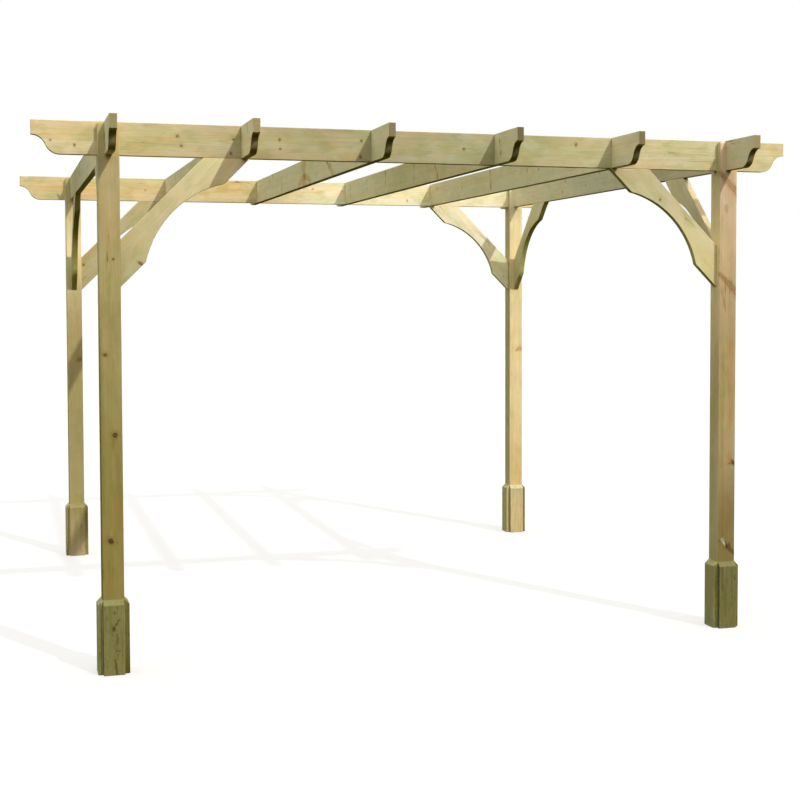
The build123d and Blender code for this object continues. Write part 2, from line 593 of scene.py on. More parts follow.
def foot_patches():
    """Patches of a foot board against the post's +X face: back, front, bevel, underside and two sides."""
    half = post_side / 2
    profile = ((half, foot_height), (half + foot_thickness, foot_height - FOOT_DROP))
    back, front = (np.linspace((place, 0.0), (place, height), FOOT_ROWS + 1) for place, height in profile)
    patches = [across(back, half, FOOT_COLUMNS), across(front, half, FOOT_COLUMNS)]
    for index in (0, -1):
        rung = np.linspace(back[index], front[index], EDGE_ROWS + 1)
        patches.append(across(rung, half, FOOT_COLUMNS))
    return patches + cheeks(back, front, half, EDGE_ROWS)


foot_skin = foot_patches()
print(f"a foot board is {foot_thickness:.3f} m thick and {foot_height:.3f} m high")

# %% [markdown]
# ## Setting the pieces in place
# Every piece is a copy of one of the five skins, turned by quarter turns and moved to where its node lies.
# The turn and the move go into the mesh itself, so each object stays at the origin.

# %% Place the pieces
pieces = {}
grains = {}


def stand_in(node, patches, grain, turns, move, width, seed):
    """Make the piece that stands in for a node, say what it rides on and hide the node that it replaces.

    The grain is the middle of the stick, the direction of its fibres and the direction of its width, and
    these are turned and moved with the patches.
    """
    turn = quarter_turn(turns)
    mesh = skin(node, [patch @ turn.T + move for patch in patches])
    middle, along, wide = grain
    grains[node] = (turn @ middle + move, turn @ along, turn @ wide)
    weigh_arrises(mesh, seed)
    piece = put(node + "_timber", mesh)
    ease(piece, width)
    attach(piece, "root")
    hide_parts(node)
    pieces[node] = piece


BOARD_ARRIS = 0.0030
SAWN_ARRIS = 0.0012
rail_grain = [(0, 0, rail_depth / 2), (1, 0, 0), (0, 0, 1)]
post_grain = [(0, 0, post_height / 2), (0, 0, 1), (1, 0, 0)]
foot_grain = [(post_side / 2 + foot_thickness / 2, 0, foot_height / 2), (0, 0, 1), (0, -1, 0)]
brace_middle = (brace_reach * diagonal - rail_depth / 2) * diagonal
brace_grain = [(brace_middle, 0, -brace_middle), (diagonal, 0, diagonal), (diagonal, 0, -diagonal)]
for seed, (node, y) in enumerate(zip(("beam_front", "beam_back"), beam_places), start=1):
    stand_in(node, beam_patches, rail_grain, 0, (0, y, rail_underside), BOARD_ARRIS, seed)
for seed, (node, x) in enumerate(zip(rafter_names, rafter_places), start=11):
    stand_in(node, rafter_patches, rail_grain, 1, (x, 0, rail_underside), BOARD_ARRIS, seed)

for number, corner in enumerate(("front_left", "front_right", "back_left", "back_right")):
    x, y, _ = corners("post_" + corner).mean(axis=0)
    stand_in("post_" + corner, post_skin, post_grain, 0, (x, y, 0), SAWN_ARRIS, 21 + number)
    for turns, side in enumerate(("right", "back", "left", "front")):
        seed = 31 + 4 * number + turns
        stand_in(f"foot_{corner}_{side}", foot_skin, foot_grain, turns, (x, y, 0), BOARD_ARRIS, seed)
    for kind, (rail, turns) in enumerate((("beam", 0 if x < 0 else 2), ("rafter", 1 if y < 0 else 3))):
        move = quarter_turn(turns) @ (post_side / 2, 0, rail_underside) + (x, y, 0)
        seed = 51 + 2 * number + kind
        stand_in(f"brace_{corner}_{rail}", brace_skin, brace_grain, turns, move, BOARD_ARRIS, seed)
print(len(pieces), "pieces placed")

# %% [markdown]
# ## Softwood as a solid
# A tree trunk is a stack of cones, one for each year, so every cut through it shows the same rings from
# another side: stripes on a board's face, arcs on its end. A picture wrapped on the faces cannot do that, but
# a solid pattern can. The finish reads three distances in the piece: how far a point is along the fibres,
# how far across the width and how far through the thickness. The distance from the pith, the thin core of
# the trunk, then says which year's ring the point is in. The next helpers keep the node trees short to write.

# %% Helpers for patterns
def factor(red, green, blue):
    """A colour factor for the wood, where 1 leaves the tone as it is."""
    return red, green, blue, 1.0


def tinted(share, colour, *tint):
    """Multiply a colour by a tint where the share is 1."""
    return mixed(share, colour, factor(*tint), "MULTIPLY")


def maths(operation, *values, clamp=False):
    """One Math node on values or sockets; gives its output."""
    inputs = dict(enumerate(values))
    return add(tree_of(*values), "Math", inputs, operation=operation, use_clamp=clamp).outputs[0]


def times(first, second):
    """Product of two numbers."""
    return maths("MULTIPLY", first, second)


def line(value, slope, start, clamp=False):
    """Straight line start + slope x value."""
    return maths("MULTIPLY_ADD", value, slope, start, clamp=clamp)


def vectors(operation, *values):
    """One Vector Math node; gives its vector, or its number for a length, a distance or a dot product."""
    node = add(tree_of(*values), "VectorMath", dict(enumerate(values)), operation=operation)
    return node.outputs["Value" if operation in ("LENGTH", "DISTANCE", "DOT_PRODUCT") else "Vector"]


def part(vector, axis):
    """One coordinate of a vector."""
    return add(tree_of(vector), "SeparateXYZ", {0: vector}).outputs[axis]


def noise(place, cells, detail=2.0):
    """Noise with so many cells a metre along, across and through a piece: three numbers about 0.5."""
    tree = tree_of(place)
    inputs = {"Vector": vectors("MULTIPLY", place, cells), "Scale": 1.0, "Detail": detail, "Roughness": 0.55}
    return add(tree, "SeparateColor", {0: add(tree, "TexNoise", inputs).outputs["Color"]}).outputs[:3]


def beside(spot, start, run, limits=None):
    """Nearest point of a line: its share of the run, kept within limits or 0 and 1, and the distance to it.

    The share is (spot - start) . run / run . run.
    """
    offset = vectors("SUBTRACT", spot, start)
    travel, whole = vectors("DOT_PRODUCT", offset, run), vectors("DOT_PRODUCT", run, run)
    share = maths("DIVIDE", travel, whole, clamp=not limits)
    tree = tree_of(share)
    if limits:
        share = add(tree, "Clamp", {"Value": share, "Min": limits[0], "Max": limits[1]}).outputs[0]
    reached = add(tree, "VectorMath", {0: run, "Scale": share}, operation="SCALE").outputs["Vector"]
    return share, vectors("DISTANCE", offset, reached)


def new_group(name, takes, gives):
    """An empty node group, its sockets named by kind: the tree, its given sockets and its output node."""
    tree = bpy.data.node_groups.new(name, "ShaderNodeTree")
    for way, sockets in (("INPUT", takes), ("OUTPUT", gives)):
        for kind, names in sockets.items():
            for socket in names.split():
                tree.interface.new_socket(socket, in_out=way, socket_type="NodeSocket" + kind)
    return tree, tree.nodes.new("NodeGroupInput").outputs, tree.nodes.new("NodeGroupOutput")


print("pattern helpers ready")

# %% [markdown]
# ## Knots
# A knot is a branch that the trunk has grown over. It starts at the pith and widens outwards, so it is a cone
# about a straight line, and a saw that crosses it shows a round knot while a saw that runs along it shows a
# spike. The group measures how far a point is from that line as a share of the branch's radius there, and
# keeps the smallest share of all branches so far. It also says how far the rings are pushed out round it.

# %% One branch
BRANCH_SHARES = (0.05, 1.4)
PUSH_FADE = 0.42
RINGS_PUSHED = 1.2

branch, given, result = new_group("branch", {"Vector": "Spot Root Reach", "Float": "Width Near Swell"},
                                  {"Float": "Near Swell"})
share, distance = beside(given["Spot"], given["Root"], given["Reach"], BRANCH_SHARES)
radius = times(given["Width"], line(share, 0.55, 0.45))
ratio = maths("DIVIDE", distance, radius)
push = times(radius, maths("POWER", PUSH_FADE, ratio))
give(result, Near=maths("MINIMUM", given["Near"], ratio), Swell=line(push, RINGS_PUSHED, given["Swell"]))
print("branch group:", len(branch.nodes), "nodes")

# %% [markdown]
# ## Stains and small marks
# Torn grain, drying checks, resin and water leave marks that are longer than wide. One group draws any of
# them: a straight line with round ends and a ragged border, in a colour that the wood is multiplied by.

# %% One mark
mark_sockets = {"Vector": "Spot Start Run Cells", "Float": "Width", "Color": "Paint Marks"}
mark, given, result = new_group("mark", mark_sockets, {"Color": "Marks"})
_, distance = beside(given["Spot"], given["Start"], given["Run"])
tear = noise(given["Spot"], given["Cells"], 3.0)[0]
border = times(distance, line(tear, 3.0, -0.5))
inside = smooth(maths("DIVIDE", border, given["Width"]), 1.10, 0.35)
give(result, Marks=mixed(inside, given["Marks"], given["Paint"], "MULTIPLY"))
print("mark group:", len(mark.nodes), "nodes")

# %% [markdown]
# ## The softwood group
# Each year adds a wide pale band, the earlywood, and then a thin hard dark one, the latewood, that ends
# sharply. Near the pith lies pinkish heartwood, outside it the sapwood, which takes up green preservative.
# The group colours these four, then adds fibres, streaks, blotches that are partly the take-up of the
# preservative and partly painted dappled light, drying checks, knots and marks, painted light and shade on
# the narrow sides of the foot boards, painted shade on undersides, the open end grain, and arrises that are
# lighter partly from wear and partly as a painted highlight. All these colours are factors about 1, and the
# tone that they multiply comes from outside, so that each stick keeps its own.

# %% Rings and heartwood
WANDER_CELLS = (0.9, 5.0, 5.0)
WANDER_REACH = (0.0, 0.040, 0.040)
RIPPLE_CELLS = (3.2, 11.0, 11.0)
EARLY_SAP = factor(1.03, 1.035, 1.05)
LATE_SAP = factor(0.90, 0.875, 0.80)
EARLY_HEART = factor(1.05, 0.995, 0.94)
LATE_HEART = factor(0.90, 0.77, 0.65)

wood, given, result = new_group(
    "softwood",
    {"Vector": "Spot Seed Pith Half Along Wide", "Float": "Ring Heart Near Swell Sawn Mottle",
     "Color": "Tone Ends Marks Sheltered Outer Below"},
    {"Color": "Color", "Float": "Roughness", "Vector": "Normal"})
spot, sawn = given["Spot"], given["Sawn"]
own = vectors("ADD", spot, given["Seed"])

wander = add(wood, "TexNoise", {"Vector": vectors("MULTIPLY", own, WANDER_CELLS), "Scale": 1.0})
centred = vectors("SUBTRACT", wander.outputs["Color"], (0.5, 0.5, 0.5))
drift = vectors("MULTIPLY", centred, WANDER_REACH)
from_pith = vectors("MULTIPLY", vectors("SUBTRACT", spot, given["Pith"]), (0.0, 1.0, 1.0))
trunk = maths("SUBTRACT", vectors("LENGTH", vectors("ADD", from_pith, drift)), given["Swell"])
ripple, cloud, blush = noise(own, RIPPLE_CELLS, 3.0)
years = maths("ADD", maths("DIVIDE", trunk, given["Ring"]), times(ripple, 1.3))
season = maths("FRACT", years)
summer = times(smooth(season, 0.30, 0.88), smooth(season, 1.0, 0.95))
vigour = add(wood, "TexWhiteNoise", {"W": maths("FLOOR", years)}, noise_dimensions="1D").outputs["Value"]
late = times(summer, line(vigour, 0.55, 0.20))
heart_edge = line(blush, -0.020, maths("ADD", given["Heart"], 0.010))
heart = smooth(maths("SUBTRACT", trunk, heart_edge), 0.004, -0.004)
sap_colour = mixed(late, EARLY_SAP, LATE_SAP)
heart_colour = mixed(late, EARLY_HEART, LATE_HEART)
colour = mixed(times(heart, 0.75), sap_colour, heart_colour)
print("rings:", len(wood.nodes), "nodes")

# %% Streaks, fibres, preservative and checks
STREAK_CELLS = (1.5, 42.0, 42.0)
FIBRE_CELLS = (9.0, 380.0, 380.0)
POOL_CELLS = (8.0, 16.0, 16.0)

streak, tint, shake = noise(own, STREAK_CELLS)
fibre, fuzz, _ = noise(own, FIBRE_CELLS)
pool, peach, dew = noise(own, POOL_CELLS, 3.0)
colour = tinted(smooth(streak, 0.35, 0.70), colour, 0.94, 0.935, 0.91)
colour = tinted(smooth(tint, 0.50, 0.75), colour, 1.01, 0.965, 0.90)
# Blotches of colour: partly the uneven take-up of the preservative and partly painted dappled light, patches
# of sun and shade.
blotches = ((cloud, 0.42, 0.60, (0.92, 0.97, 0.84)), (blush, 0.50, 0.64, (1.04, 0.95, 0.90)),
            (pool, 0.48, 0.66, (0.86, 0.88, 0.78)), (peach, 0.50, 0.66, (1.09, 1.02, 0.97)),
            (dew, 0.52, 0.66, (1.06, 1.10, 1.18)))
for patch, start, end, blotch in blotches:
    colour = tinted(times(smooth(patch, start, end), given["Mottle"]), colour, *blotch)
colour = tinted(times(smooth(fibre, 0.42, 0.75), line(sawn, 0.9, 0.5)), colour, 0.84, 0.81, 0.75)
ridge = maths("ABSOLUTE", maths("SUBTRACT", shake, 0.5))
split = times(smooth(ridge, 0.010, 0.002), smooth(ripple, 0.60, 0.68))
colour = tinted(split, colour, 0.40, 0.32, 0.22)
print("streaks and checks:", len(wood.nodes), "nodes")

# %% Knots
RAGGED_CELLS = (70.0, 120.0, 120.0)
RIM_PLACE = 0.92
DEAD_KNOT = (factor(0.50, 0.42, 0.32), factor(0.32, 0.26, 0.19))
LIVE_KNOT = (factor(0.82, 0.65, 0.53), factor(0.66, 0.50, 0.40))
DEAD_RIM = factor(0.20, 0.17, 0.13)
LIVE_RIM = factor(0.48, 0.36, 0.28)

ragged, smudge, speck = noise(own, RAGGED_CELLS)
near = times(given["Near"], line(ragged, 1.2, 0.45))
core = smooth(near, 1.10, 0.80)
from_rim = maths("ABSOLUTE", maths("SUBTRACT", near, RIM_PLACE))
rim = times(smooth(from_rim, 0.26, 0.03), line(smudge, 1.2, 0.2, clamp=True))
rings = line(maths("SINE", times(near, 21.0)), 0.5, 0.5)
colour = tinted(times(smooth(near, 3.2, 0.9), 0.90), colour, 0.83, 0.73, 0.58)
colour = mixed(core, colour, mixed(heart, mixed(rings, *DEAD_KNOT), mixed(rings, *LIVE_KNOT)))
colour = mixed(rim, colour, mixed(heart, DEAD_RIM, LIVE_RIM))
colour = mixed(1.0, colour, given["Marks"], "MULTIPLY")
torn = times(smooth(speck, 0.60, 0.72), times(sawn, cloud))
colour = tinted(torn, colour, 0.42, 0.38, 0.30)
print("knots:", len(wood.nodes), "nodes")

# %% Sides, undersides, end grain and arrises
LEVEL_UNDERSIDE_SHADE = factor(0.80, 0.82, 0.50)
END_RINGS = (factor(1.1, 1.1, 1.1), factor(0.70, 0.64, 0.55))
facing = add(wood, "NewGeometry").outputs["Normal"]


def looks_along(direction, start, end):
    """1 where the surface faces a direction of the stick or its opposite, from |n . d| = end on."""
    return smooth(maths("ABSOLUTE", vectors("DOT_PRODUCT", facing, direction)), start, end)


# Painted light and shade on the narrow sides of the foot boards, by halves of their thickness, against the
# sun and the shadow of the next board.
side_light_and_shade = mixed(smooth(part(spot, "Z"), -0.008, -0.003), given["Sheltered"], given["Outer"])
colour = mixed(times(looks_along(given["Wide"], 0.75, 0.95), sawn), colour, side_light_and_shade, "MULTIPLY")
# Painted shade on faces that look downwards, darkest on level undersides.
rise = part(facing, "Z")
underside_shade = mixed(smooth(rise, -0.88, -0.97), given["Below"], LEVEL_UNDERSIDE_SHADE)
colour = mixed(smooth(rise, -0.20, -0.36), colour, underside_shade, "MULTIPLY")
end = looks_along(given["Along"], 0.55, 0.95)
end_colour = mixed(1.0, given["Ends"], mixed(late, *END_RINGS), "MULTIPLY")
colour = mixed(times(end, 0.9), colour, end_colour)
# Arrises are lightened, partly as wear and partly as a painted highlight.
gaps = vectors("SUBTRACT", given["Half"], vectors("ABSOLUTE", spot))
worn_and_highlit = smooth(line(streak, 0.012, maths("ADD", part(gaps, "Y"), part(gaps, "Z"))), 0.0115, 0.0060)
colour = tinted(worn_and_highlit, colour, 1.07, 1.05, 1.00)
give(result, Color=mixed(1.0, given["Tone"], colour, "MULTIPLY"))
print("sides and ends:", len(wood.nodes), "nodes")

# %% Relief and sheen
relief = maths("ADD", times(late, line(sawn, 0.45, 0.10)), times(fibre, line(sawn, 1.30, 0.35)))
for pattern, height in ((streak, 0.50), (split, -1.20), (rim, -0.45), (core, 0.30), (torn, -1.50)):
    relief = line(pattern, height, relief)
relief = maths("ADD", relief, add(wood, "SeparateColor", {0: given["Marks"]}).outputs["Green"])
bump = add(wood, "Bump", {"Strength": 1.0, "Distance": 0.001, "Height": relief})
sheen = line(late, -0.10, line(sawn, 0.14, 0.66))
sheen = line(core, -0.08, line(end, 0.12, sheen))
give(result, Normal=bump.outputs["Normal"], Roughness=line(fuzz, 0.10, sheen, clamp=True))
print("softwood group:", len(wood.nodes), "nodes")

# %% [markdown]
# ## Tones of the sticks
# No two sticks from the timber yard are the same. Fresh ones are cream and some are honey-coloured. Each
# stick gets a few named tones, evenly spaced from one end to the other, which are partly the wood's own tone
# and partly
# painted light and shade: the front beam's darker middle is painted shade, and the front posts and their foot
# boards darken and turn olive towards the ground, partly as wood and partly as painted shade. The posts get a
# second row for the faces that are turned away from the sun, and that row is painted light and shade too.

# %% Tones
def paint(red, green, blue):
    """A linear colour from display values out of 255."""
    display = np.array([red, green, blue]) / 255
    linear = np.where(display <= 0.04045, display / 12.92, ((display + 0.055) / 1.055) ** 2.4)
    return (*linear.tolist(), 1.0)


display_tones = {
    "ivory": (255, 249, 222), "butter": (246, 230, 186), "cream": (230, 217, 176), "straw": (212, 199, 162),
    "khaki": (186, 178, 138), "honey": (232, 208, 158), "sage": (220, 210, 166), "drab": (198, 187, 136),
    "amber": (206, 188, 142), "tan": (184, 169, 120), "fawn": (180, 163, 122), "rose": (212, 190, 159),
    "petal": (238, 216, 192), "olive": (166, 154, 100), "moss": (150, 138, 80), "damp": (144, 133, 72),
    "lichen": (166, 165, 116), "slate": (136, 133, 84), "dusk": (190, 178, 143), "linen": (202, 195, 160),
    "oat": (216, 208, 172), "hay": (224, 209, 167), "flax": (200, 190, 152),
    "bog": (118, 114, 48), "fen": (139, 125, 67), "loam": (136, 123, 79), "reed": (168, 160, 98),
    "dun": (174, 163, 113), "ash": (181, 177, 144), "peat": (126, 123, 78),
}
tones = {name: paint(*display) for name, display in display_tones.items()}
# Tones along each stick, partly the wood's own and partly painted light and shade.
stains_and_painted_light = {
    # The front beam's darker middle, dusk and ash, is painted shade.
    "beam_front": "cream straw dusk ash ash linen oat cream",
    "beam_back": "hay hay hay hay ivory ivory ivory cream", "rafter_1": "sage butter sage drab sage",
    "rafter_2": "cream sage sage sage", "rafter_4": "sage amber drab sage sage",
    "rafter_5": "cream sage sage sage", "rafter_6": "straw dusk linen sage cream",
    # The front posts darken towards the ground, partly as wood and partly as painted shade.
    "post_front_left": "damp damp moss olive tan amber", "post_front_right": "loam loam fawn fawn rose petal",
    "post_back_left": "dun dun dun tan butter drab",
    "post_back_right": "honey honey butter butter butter ivory",
    "brace_front_left_beam": "khaki straw cream butter", "brace_front_right_beam": "cream cream oat straw",
    "brace_back_left_beam": "flax", "brace_back_right_beam": "ivory", "brace_front_right_rafter": "straw",
    # The front feet are dark and olive, partly as wood and partly as painted shade.
    "brace_back_left_rafter": "drab", "foot_front_left_front": "slate", "foot_front_left_left": "lichen",
    "foot_front_left_right": "bog moss moss", "foot_front_right_front": "peat",
    # The back left foot is lighter at the bottom and darker at the top: painted light and shade against a
    # shadow cast across it.
    "foot_front_right_left": "lichen reed reed", "foot_back_left_front": "amber tan olive",
    "foot_back_left_right": "drab", "foot_back_left_left": "drab",
    "foot_back_right_front": "honey honey sage", "foot_back_right_left": "drab",
}
# Tones for the faces turned away from the sun: painted light and shade, lit and shaded copies of the wood.
painted_shade_side_tones = {
    "post_front_left": "bog bog fen amber cream", "post_front_right": "olive drab amber butter drab",
    "post_back_left": "olive olive drab sage", "post_back_right": "drab",
}
common_stains = {
    "beam": "cream straw cream", "rafter": "sage", "post": "drab drab sage", "brace": "sage", "foot": "olive",
}
print(len(tones), "tones")

# %% Ends, edges and undersides
end_tones = {"beam": (0.60, 0.58, 0.48), "rafter": (0.42, 0.40, 0.31), "post": (0.80, 0.78, 0.70),
             "brace": (0.65, 0.62, 0.52), "foot": (1.00, 1.08, 1.50)}
# Some sticks' end grain is darker or lighter; on the rafters this is partly painted light and shade.
end_wear_and_shade = {"rafter_3": 0.69, "rafter_4": 0.40, "rafter_5": 0.50, "rafter_6": 1.2,
            "foot_back_left_front": 0.54, "foot_back_right_front": 0.72}
# Painted shade on undersides, by kind.
underside_shades = {"rafter": factor(0.42, 0.38, 0.15), "brace": factor(0.90, 0.96, 0.60)}
PLAIN_UNDERSIDE_SHADE = factor(0.8, 0.8, 0.6)
# Painted light and shade on the narrow sides of the foot boards: the inner halves of right boards are
# darkened, those of the others lightened, the outer halves darkened and one of them lightened.
INNER_SIDE_PAINTED_SHADE = factor(0.80, 0.81, 0.80)
INNER_SIDE_PAINTED_LIGHT = factor(1.30, 1.32, 1.26)
OUTER_SIDE_PAINTED_SHADE = factor(0.60, 0.61, 0.62)
painted_sunlit_rims = {"foot_back_right_left": factor(1.25, 1.22, 1.15)}
# How strongly each kind shows the blotches, which are partly preservative and partly painted dappled light.
mottle = {"beam": 1.0, "brace": 0.8, "rafter": 0.5}
PLAIN_MOTTLE = 0.6
slow_growth = {"brace": 0.55}
print(len(end_tones), "kinds of end grain")

# %% [markdown]
# ## Where the knots are
# Branches leave a young pine in whorls, one whorl a year, so knots come in groups at regular distances. The
# groups on the sides that show most are listed one by one, as places on the left face of a rafter or on the
# front face of any other stick, and so are the marks. The others are drawn at random in whorls, from a seed.

# %% Listed knots and marks
face_knots = {
    "beam_front": [(-1720, 2304, 7), (-1620, 2286, 8), (-1184, 2336, 9), (-1167, 2296, 8), (-940, 2329, 7),
        (-950, 2268, 7), (-732, 2334, 8), (-730, 2294, 7), (-358, 2341, 8), (-362, 2268, 8), (130, 2316, 9),
        (690, 2352, 9)],
    "beam_back": [(-1570, 2271, 7), (-1030, 2317, 7), (-90, 2368, 7), (60, 2345, 8), (710, 2280, 7)],
    "rafter_2": [(-1650, 2374, 8), (-1300, 2360, 8), (200, 2290, 8), (900, 2350, 8)],
    "rafter_3": [(-610, 2325, 9), (608, 2290, 8), (909, 2384, 8), (1016, 2352, 7), (1323, 2343, 7)],
    "rafter_4": [(-1568, 2347, 8), (-1585, 2297, 8), (-564, 2319, 9), (-604, 2274, 9), (-165, 2365, 8),
        (-165, 2290, 8), (434, 2366, 9), (434, 2316, 8), (880, 2355, 8), (880, 2310, 8), (1310, 2355, 8),
        (1310, 2299, 8)],
    "rafter_5": [(-371, 2331, 9), (-547, 2323, 6), (247, 2382, 8), (230, 2293, 8), (770, 2320, 8),
        (1307, 2348, 8)],
    "rafter_6": [(508, 2351, 8), (559, 2290, 8), (190, 2301, 7), (-14, 2360, 7)],
    "post_front_left": [(-1504, 1389, 11), (-1466, 1041, 18), (-1488, 581, 18), (-1465, 1800, 8)],
    "foot_front_left_front": [(-1480, 203, 5)],
    "post_front_right": [(1515, 815, 10)],
    "post_back_left": [(-1459, 1238, 13)],
    "post_back_right": [(1500, 1269, 15)],
    "brace_front_left_beam": [(-1345, 1781, 9), (-1100, 1990, 6)],
    "brace_front_right_beam": [(1128, 2099, 8)],
    "brace_back_right_beam": [(1402, 1772, 5)],
    "brace_back_left_beam": [(-1420, 1838, 10)],
}
spikes = {
    "post_front_right": [((1425, -1523, 2244), (1526, -1526, 2142), 14),
        ((1428, -1523, 1750), (1526, -1526, 1655), 13)],
}
paints = {"torn": factor(0.48, 0.43, 0.32), "dim": factor(0.70, 0.66, 0.52), "rust": factor(1.00, 0.91, 0.82),
          "bark": factor(0.60, 0.45, 0.36), "bare": factor(1.70, 1.95, 3.20),
          "resin": factor(1.02, 0.87, 0.80), "pale": factor(1.12, 1.14, 1.24),
          "wet": factor(0.84, 0.74, 0.55), "mould": factor(0.86, 0.90, 0.72),
          "whorl": factor(0.78, 0.74, 0.66)}
face_marks = {
    "foot_front_left_front": [(-1459, 243, -1462, 237, 5, "torn"), (-1469, 226, -1472, 218, 5, "torn"),
        (-1480, 206, -1483, 198, 6, "torn"), (-1463, 236, -1480, 208, 3, "dim"),
        (-1468, 179, -1468, 137, 6, "dim"), (-1470, 107, -1455, 106, 6, "dim"),
        (-1463, 92, -1466, 86, 5, "dim"), (-1477, 68, -1469, 2, 5, "torn"),
        (-1509, 252, -1509, 246, 5, "dim"), (-1480, 278, -1479, 270, 6, "dim"),
        (-1519, 298, -1519, 290, 5, "dim"), (-1467, 297, -1466, 290, 4, "dim"),
        (-1518, 245, -1516, 40, 9, "rust"), (-1427, 160, -1429, 4, 5, "dim"),
        (-1500, 300, -1492, 180, 9, "mould"), (-1450, 200, -1445, 50, 7, "mould")],
    "foot_front_right_front": [(1462, 250, 1464, 60, 7, "mould"), (1500, 290, 1502, 110, 8, "mould"),
        (1516, 255, 1516, 240, 6, "dim"), (1448, 300, 1450, 190, 6, "dim")],
    "post_front_left": [(-1485, 1904, -1491, 1788, 9, "resin"), (-1482, 1737, -1488, 1644, 9, "mould"),
        (-1466, 1080, -1466, 1056, 7, "pale"), (-1488, 625, -1488, 598, 8, "pale"),
        (-1474, 1020, -1478, 985, 10, "mould"), (-1466, 1042, -1466, 1039, 14, "dim"),
        (-1488, 582, -1488, 579, 14, "dim"), (-1520, 1500, -1518, 700, 9, "mould"),
        (-1455, 950, -1452, 640, 12, "rust"), (-1500, 500, -1498, 350, 9, "rust")],
    "post_front_right": [(1459, 434, 1468, 420, 13, "bare"), (1467, 420, 1475, 406, 7, "bare"),
        (1474, 424, 1484, 398, 7, "torn"), (1486, 402, 1520, 370, 15, "bark"),
        (1452, 425, 1440, 430, 8, "dim"), (1478, 850, 1516, 818, 18, "resin"),
        (1510, 824, 1522, 806, 12, "bark"), (1468, 2072, 1471, 2052, 15, "whorl"),
        (1500, 1400, 1500, 1000, 18, "resin"), (1455, 1300, 1452, 800, 14, "mould"),
        (1450, 2222, 1514, 2154, 11, "mould"), (1455, 1726, 1514, 1666, 11, "mould")],
    "rafter_3": [(-16, 2345, -40, 2270, 60, "wet"), (-40, 2300, 110, 2262, 22, "wet"),
        (-40, 2300, -190, 2264, 24, "wet"), (-560, 2345, -650, 2300, 16, "wet"),
        (-650, 2300, -735, 2254, 24, "wet")],
}
piths = {"beam_front": (0.0, -0.030), "beam_back": (0.010, -0.020), "post_front_left": (0.010, -0.010),
         "post_front_right": (-0.025, -0.034)}
hearts = {"beam_front": 0.018, "beam_back": 0.055, "post_front_right": 0.060, "post_back_right": 0.035,
          "post_front_left": 0.022, "foot_front_left_front": 0.010, "brace_front_left_beam": 0.0}
listed = sum(len(places) for places in face_knots.values())
print(listed, "knots listed")

# %% Places on a stick
MM = 0.001


def stick_frame(node):
    """Matrix whose columns are the directions along, across and through a stick, and its middle."""
    middle, along, wide = (Vector(value) for value in grains[node])
    return Matrix((along, wide, along.cross(wide))).transposed(), middle


def on_stick(node, place):
    """A place in millimetres, in the coordinates of a stick."""
    turn, middle = stick_frame(node)
    return turn.transposed() @ (MM * Vector(place) - middle)


def on_face(node, across_place, height):
    """A place on the left face of a rafter or on the front face of another stick, in its coordinates."""
    left, front, _ = corners(node)[0] / MM
    on_left = node.startswith("rafter")
    return on_stick(node, (left, across_place, height) if on_left else (across_place, front, height))


rail_size = (rail_length, rail_depth, rail_thickness)
BRACE_RUN = 1.41
stick_sizes = {"beam": rail_size, "rafter": rail_size, "post": (post_height, post_side, post_side),
               "foot": (foot_height, post_side, foot_thickness),
               "brace": (BRACE_RUN * brace_reach, rail_depth, rail_thickness)}
print(f"a brace is taken as {stick_sizes['brace'][0]:.3f} m long")

# %% [markdown]
# ## Branches and marks of a stick
# The listed knots are where branches come out of the wood, so each branch runs from the pith to its
# knot, leaning a little as branches do. A stick without any gets whorls at random. Sawing tears the grain
# between the knots of one whorl, and on the rafters that shows as a thin line through them.

# %% Branches and marks
KNOT_SHARE = 0.55
KNOT_LEAN = 0.012
KNOT_SPREAD = 0.9
KNOT_SCATTER = 0.02
KNOT_WIDTHS = (0.005, 0.010)
WHORL_GAP = 0.55
WHORL_SHIFT = (0.3, 0.7)
WHORL_SPREAD = 0.045
WHORL_LINE = 0.006
WHORL_PAST = 0.35


def knots_of(node, half, pith, draw):
    """Root, reach and width of each branch in stick coordinates: the listed ones, then random whorls."""
    mouths = [(on_face(node, *place), KNOT_SHARE * MM * width) for *place, width in face_knots.get(node, [])]
    if not mouths and node not in spikes:
        whorls = int(2 * half.x / WHORL_GAP)
        for place in (np.arange(whorls) + draw.uniform(*WHORL_SHIFT, whorls)) / max(whorls, 1) * 2 - 1:
            for _ in range(draw.integers(1, 3)):
                spread, side = draw.uniform(-KNOT_SPREAD, KNOT_SPREAD), draw.choice([-1, 1])
                x = place * half.x + draw.uniform(-KNOT_SCATTER, KNOT_SCATTER)
                mouths.append((Vector((x, spread * half.y, side * half.z)), draw.uniform(*KNOT_WIDTHS)))
    ends = [(Vector((mouth.x - KNOT_LEAN, pith.y, pith.z)), mouth, width) for mouth, width in mouths]
    for start, mouth, width in spikes.get(node, []):
        ends.append((on_stick(node, start), on_stick(node, mouth), MM * width))
    return [(root, mouth - root, width) for root, mouth, width in ends]


def marks_of(node, knots):
    """Start, run, width and colour of each mark: the listed ones, and a line through each whorl."""
    marks = []
    for *ends, width, name in face_marks.get(node, []):
        start, stop = on_face(node, *ends[:2]), on_face(node, *ends[2:])
        marks.append((start, stop - start, MM * width, paints[name]))
    mouths = [root + reach for root, reach, _ in knots] if node.startswith("rafter") else []
    for start, stop in zip(mouths, mouths[1:]):
        if abs(start.x - stop.x) < WHORL_SPREAD and start.z * stop.z > 0:
            past = (stop - start) * WHORL_PAST
            marks.append((start - past, stop - start + 2 * past, WHORL_LINE, paints["whorl"]))
    return marks


print("knots closer than", 1000 * WHORL_SPREAD, "mm along a rafter are one whorl")

# %% [markdown]
# ## Finish of a stick
# A Mapping node in texture mode undoes the turn and the move of the stick, so the pattern is worked out in
# distances along, across and through it. The branches and marks are chained: each group takes the nearest
# branch or the marks so far, adds its own, and hands them on to the next, and the softwood group comes last.

